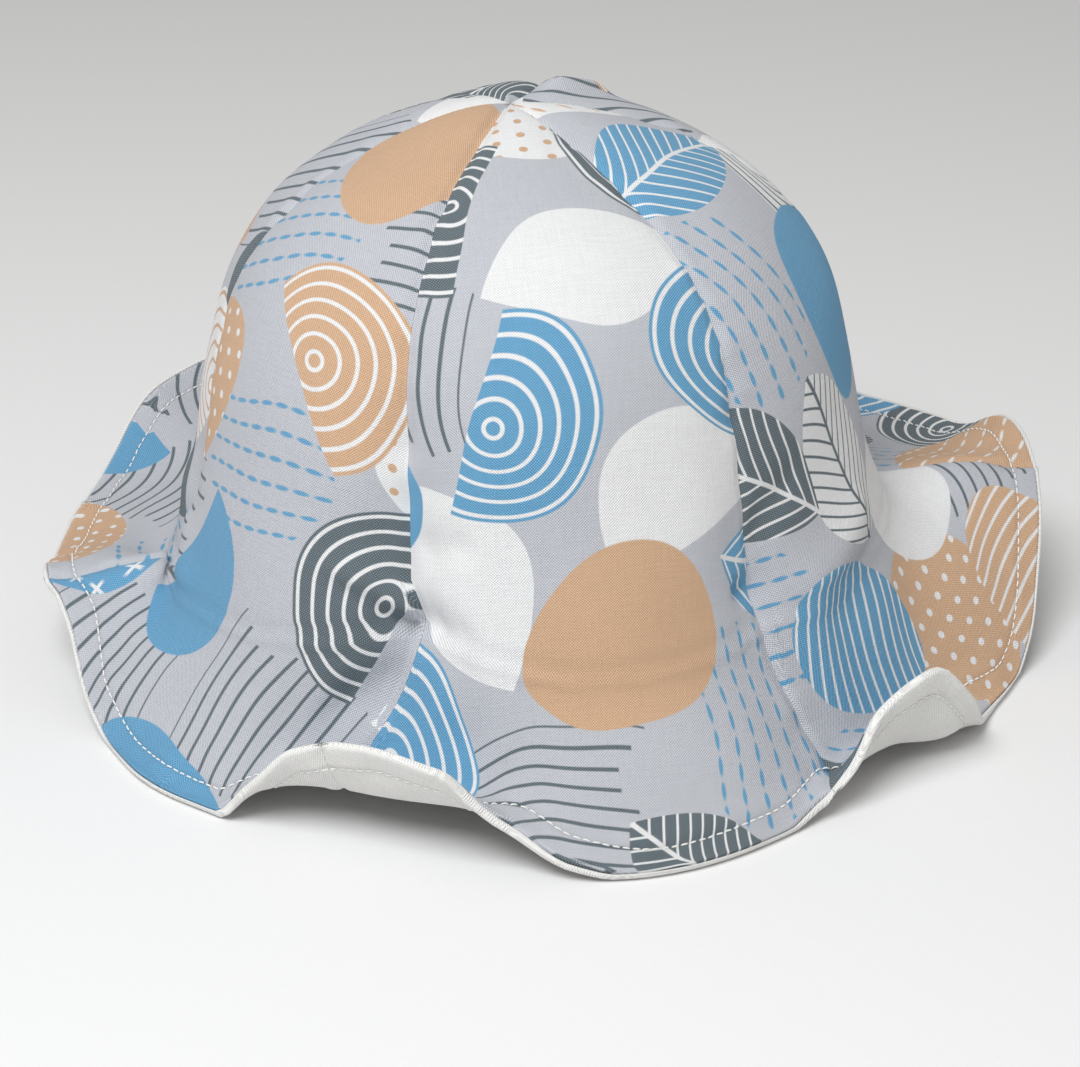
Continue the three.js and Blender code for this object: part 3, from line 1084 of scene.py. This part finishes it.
def leaf(x, y, fill, wide=14.0, high=23.0, rib=0.5):
    bow = maths("POWER", maths("ABSOLUTE", maths("DIVIDE", y, high)), 2.0)
    beside = maths("ABSOLUTE", x)
    value = maths("ADD", maths("DIVIDE", beside, wide), bow)
    midrib = edgeMask(maths("DIVIDE", beside, rib), rib)
    veins = maths("MAXIMUM", midrib, lines(maths("SUBTRACT", y, beside), pitch=4.0, width=0.75))
    return value, oneOf(fill, [veins, dots(x, y, pitch=4.4, radius=0.7), veins, 0.0])


def moon(x, y, fill, radius=21, lowered=5.5, straightAt=10):
    raised = maths("ADD", y, lowered)
    straight = maths("MULTIPLY", y, -1 / straightAt)
    value = maths("MAXIMUM", ovalReach(x, raised, radius, radius), straight)
    arcs = lines(ovalReach(x, raised), pitch=3.6, width=0.85)
    return value, oneOf(fill, [arcs, dashes(x, y), arcs, 0.0])


def reeds(x, y, fill, apart=4.2, bend=0.012, uneven=3.5, wide=18.9, high=19.0):
    bent = maths("MULTIPLY_ADD", maths("MULTIPLY", y, y), bend, x)
    reed = maths("FLOOR", maths("DIVIDE", bent, apart))
    moved = maths("ADD", y, maths("MULTIPLY", maths("SINE", reed), uneven))
    sides = maths("DIVIDE", maths("ABSOLUTE", bent), wide)
    ends = maths("DIVIDE", maths("ABSOLUTE", moved), high)
    return maths("MAXIMUM", sides, ends), lines(bent, pitch=apart, width=0.85)


def rain(x, y, fill, wide=22, high=17):
    return ovalReach(x, y, wide, high), dashes(x, y, pitch=5.0, half=0.5)


shapes = dict(pebble=pebble, oval=oval, leaf=leaf, moon=moon, reeds=reeds, rain=rain)
lineInks = dict(reeds="slate", rain="blue")  # these have no base of their own


def addMotifs(turned, motifs, below):
    x, y, kind, fill, tint = motifPlace(turned, motifs)
    drawn = [shapes[name](x, y, fill) for name in motifs["shapes"]]
    outline = edgeMask(oneOf(kind, [value for value, marks in drawn]), layout["motif"])
    marks = oneOf(kind, [marks for value, marks in drawn])
    onGround = oneOf(kind, [float(name in lineInks) for name in motifs["shapes"]])
    base = inkSteps(tint, [inks[name] for name in motifs["bases"]])
    mark = inkSteps(tint, [inks[name] for name in motifs["marks"]])
    whole = maths("MULTIPLY", outline, maths("SUBTRACT", 1.0, onGround))
    colour = mixColour(whole, below, mixColour(marks, base, mark))
    for name in lineInks:
        if name in motifs["shapes"]:
            here = oneOf(kind, [float(other == name) for other in motifs["shapes"]])
            drawnLines = maths("MULTIPLY", maths("MULTIPLY", outline, marks), here)
            colour = mixColour(drawnLines, colour, (*inks[lineInks[name]], 1))
    return colour


def printedCotton():
    material = startMaterial("printed cotton")
    cut = cutInMillimetres(material)
    wobble = noise(cut, layout["wobbleScale"], 0.0)["Color"]
    centred = vectorMaths("SUBTRACT", wobble, (0.5, 0.5, 0.5))
    sway = (layout["wobble"], layout["wobble"], 0.0)
    drawn = vectorMaths("ADD", cut, vectorMaths("MULTIPLY", centred, sway))
    turned = turnedFlat(drawn, math.radians(layout["turn"]))
    colour = (*inks["ground"], 1)
    for motifs in sets:
        colour = addMotifs(turned, motifs, colour)
    checker, slubs = wovenHeight(cut)
    bare = maths("MULTIPLY", spread(checker, *weave["bareBetween"]), weave["bare"])
    colour = mixColour(bare, colour, (*inks["white"], 1))
    return clothShader(material, colour, checker, slubs, roughness=0.85, sheen=0.08)


# The plain whites, each between two tones
whites = dict(
    lining=dict(dull=(0.80, 0.79, 0.765), bright=(0.86, 0.855, 0.84), scale=0.05, detail=3.0),
    thread=dict(dull=(0.78, 0.77, 0.74), bright=(0.9, 0.9, 0.88), scale=4000.0, detail=1.0),
)


def mottled(place, white):
    mottle = noise(place, white["scale"], white["detail"])["Fac"]
    return mottle, mixColour(mottle, (*white["dull"], 1), (*white["bright"], 1))


def whiteCotton():
    material = startMaterial("white cotton lining")
    cut = cutInMillimetres(material)
    checker, slubs = wovenHeight(cut)
    colour = mottled(cut, whites["lining"])[1]
    return clothShader(material, colour, checker, slubs, roughness=0.88, sheen=0.15)


def whiteThread():
    material = startMaterial("white sewing thread")
    twist, colour = mottled(inSpace(material), whites["thread"])
    settings = {"Roughness": 0.6, "Sheen Weight": 0.2}
    return finishMaterial(material, colour, twist, (1.0, 0.00005), settings)


def addHat():
    lining = whiteCotton()
    printed = printedCotton()
    for index in range(len(seams)):
        addGore(index, "lining", cloth["lip"], liningDepths, lining)
        addGore(index, "print", 0, printDepths, printed)
        print("gore", seams[index]["gore"])
    addTopstitch(whiteThread())
    print("topstitching")


# The floor, the lights and the camera, in metres and degrees
studio = dict(
    floorSize=8.0,
    floorColour=(0.84, 0.84, 0.84),
    worldColour=(1.0, 0.985, 0.955),
    worldStrength=0.41,
    cameraRise=25.0,
    cameraDistance=0.6,
    cameraTarget=(0.6, 0.0, 28.2),  # in millimetres from the brim's centre
    cameraLens=89.31,
)
overhead = dict(
    place=(-0.25, -0.6, 0.95),
    aim=(0, -0.1, 0),
    size=0.6,
    power=10.0,
    colour=(0.97, 0.985, 1),
)


def addFloor():
    half = studio["floorSize"] / 2
    mesh = bpy.data.meshes.new("floor")
    corners = [(-half, -half, 0), (half, -half, 0), (half, half, 0), (-half, half, 0)]
    mesh.from_pydata(corners, [], [(0, 1, 2, 3)])
    floor = linked("floor", mesh)
    material = startMaterial("pale floor")
    grain = noise(inSpace(material), 900.0)["Fac"]
    settings = {"Roughness": 0.9, "Specular IOR Level": 0.15}
    finishMaterial(material, (*studio["floorColour"], 1), grain, (0.4, 0.0001), settings)
    floor.data.materials.append(material)


def aimed(thing, place, aim):
    thing.location = place
    thing.rotation_mode = "QUATERNION"
    way = [a - p for a, p in zip(aim, place)]
    thing.rotation_quaternion = Vector(way).to_track_quat("-Z", "Y")


def addLights():
    light = bpy.data.lights.new("overhead", "AREA")
    light.shape = "DISK"
    light.size = overhead["size"]
    light.energy = overhead["power"]
    light.color = overhead["colour"]
    aimed(linked("overhead", light), overhead["place"], overhead["aim"])
    world = bpy.data.worlds.new("soft room light")
    world.use_nodes = True
    background = world.node_tree.nodes["Background"]
    background.inputs["Color"].default_value = (*studio["worldColour"], 1)
    background.inputs["Strength"].default_value = studio["worldStrength"]
    bpy.context.scene.world = world
    bpy.context.scene.view_settings.view_transform = "Standard"


def addCamera():
    camera = linked("camera", bpy.data.cameras.new("camera"))
    rise = math.radians(studio["cameraRise"])
    target = (np.array(studio["cameraTarget"]) + placement) * mm
    back = np.array([0, -math.cos(rise), math.sin(rise)]) * studio["cameraDistance"]
    aimed(camera, tuple(target + back), tuple(target))
    camera.data.sensor_width = 36
    camera.data.lens = studio["cameraLens"]
    camera.data.clip_start = 0.01
    bpy.context.scene.camera = camera


addCamera()
addFloor()
addLights()
addHat()
